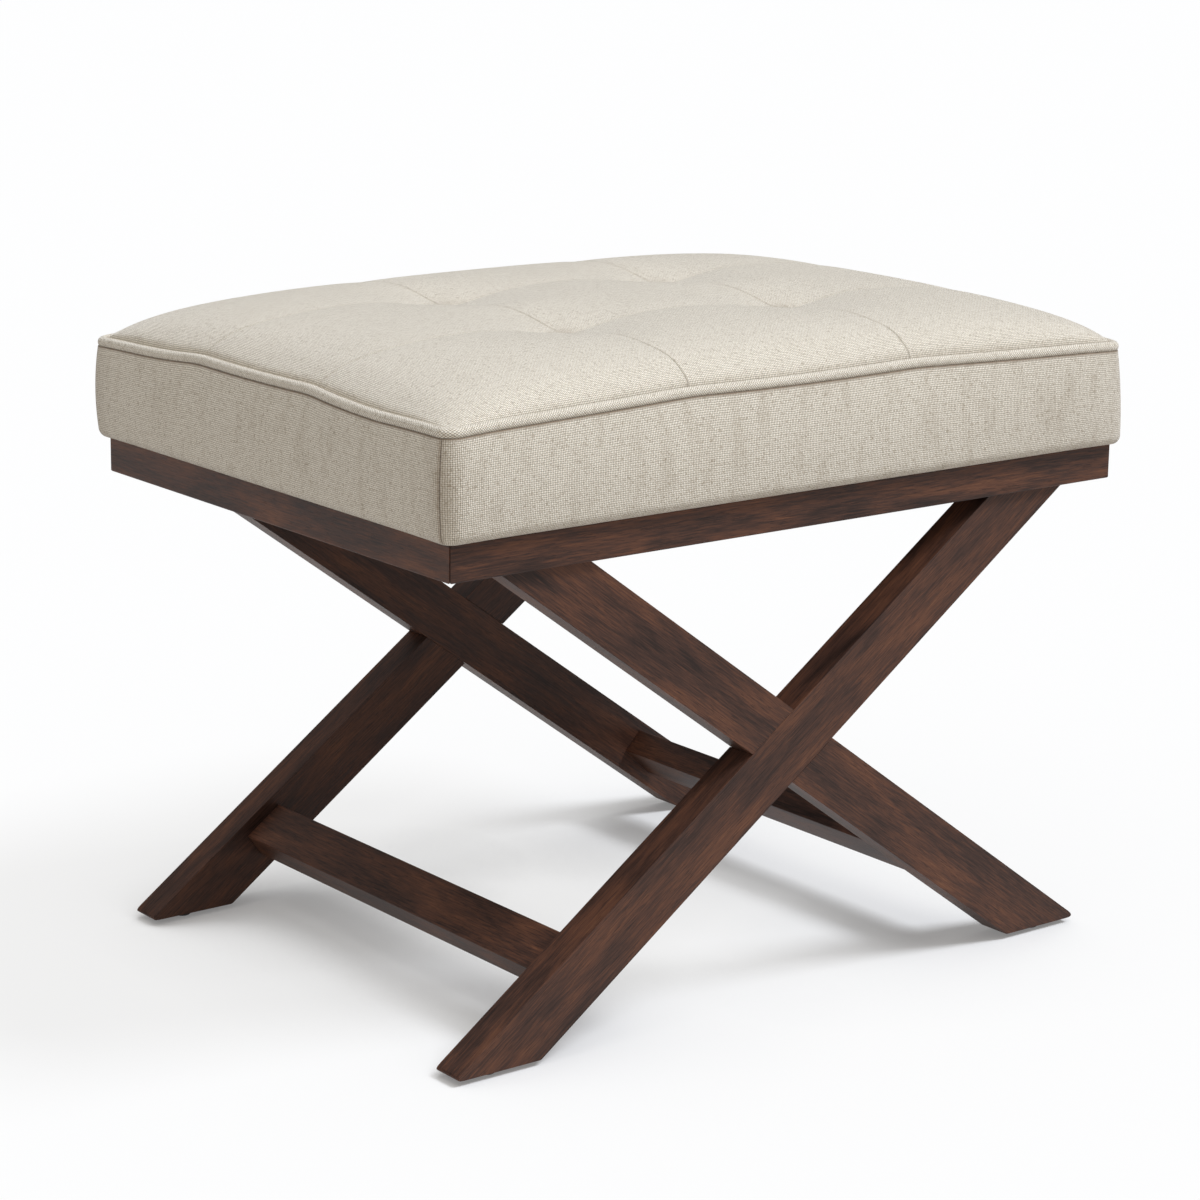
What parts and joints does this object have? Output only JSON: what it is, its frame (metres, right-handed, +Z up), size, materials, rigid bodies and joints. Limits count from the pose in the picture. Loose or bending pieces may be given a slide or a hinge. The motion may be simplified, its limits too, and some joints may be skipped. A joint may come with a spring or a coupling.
{
  "type": "x frame stool",
  "caption": "Oblong upholstered stool: a tufted, welted box cushion on a mitred wood seat frame, carried by crossed half-lapped legs joined by low stretchers.",
  "frame": {"origin": "on the floor under the middle of the seat", "axes": "+X along the long side, +Y from the front to the back, +Z up"},
  "size_m": [0.611, 0.447, 0.4797],
  "materials": {
    "walnut": "dark stained, satin",
    "beech": "plain turned dowel",
    "plywood": "sanded",
    "steel": "zinc plated",
    "nylon": "moulded, matt",
    "linen": "coarse oatmeal weave",
    "foam": "cut polyurethane foam",
    "cambric": "thin black non-woven",
    "twine": "waxed"
  },
  "bodies": {
    "root": {"rail_front": "walnut", "rail_right": "walnut", "rail_back": "walnut", "rail_left": "walnut", "mitre_tongue_front_left": "plywood", "mitre_tongue_front_right": "plywood", "mitre_tongue_back_left": "plywood", "mitre_tongue_back_right": "plywood", "leg_front_foot_left": "walnut", "leg_front_foot_right": "walnut", "leg_back_foot_left": "walnut", "leg_back_foot_right": "walnut", "head_screw_front_left": "steel", "head_screw_front_right": "steel", "head_screw_back_left": "steel", "head_screw_back_right": "steel", "head_dowel_front_left": "beech", "head_dowel_front_right": "beech", "head_dowel_back_left": "beech", "head_dowel_back_right": "beech", "stretcher_left": "walnut", "stretcher_right": "walnut", "stretcher_dowel_front_left": "beech", "stretcher_dowel_front_right": "beech", "stretcher_dowel_back_left": "beech", "stretcher_dowel_back_right": "beech", "glide_front_left": "nylon", "glide_front_right": "nylon", "glide_back_left": "nylon", "glide_back_right": "nylon", "seat_board": "plywood", "board_screw_front": "steel", "board_screw_right": "steel", "board_screw_back": "steel", "board_screw_left": "steel", "dust_cover": "cambric", "foam_core": "foam", "top_panel_front_left": "linen", "top_panel_front_middle": "linen", "top_panel_front_right": "linen", "top_panel_centre_left": "linen", "top_panel_centre_middle": "linen", "top_panel_centre_right": "linen", "top_panel_back_left": "linen", "top_panel_back_middle": "linen", "top_panel_back_right": "linen", "boxing_front": "linen", "boxing_right": "linen", "boxing_back": "linen", "boxing_left": "linen", "welt": "linen", "tuft_toggle_front_left": "nylon", "tuft_toggle_front_right": "nylon", "tuft_toggle_back_left": "nylon", "tuft_toggle_back_right": "nylon", "tuft_tie_front_left": "twine", "tuft_tie_front_right": "twine", "tuft_tie_back_left": "twine", "tuft_tie_back_right": "twine"}
  },
  "joints": []
}
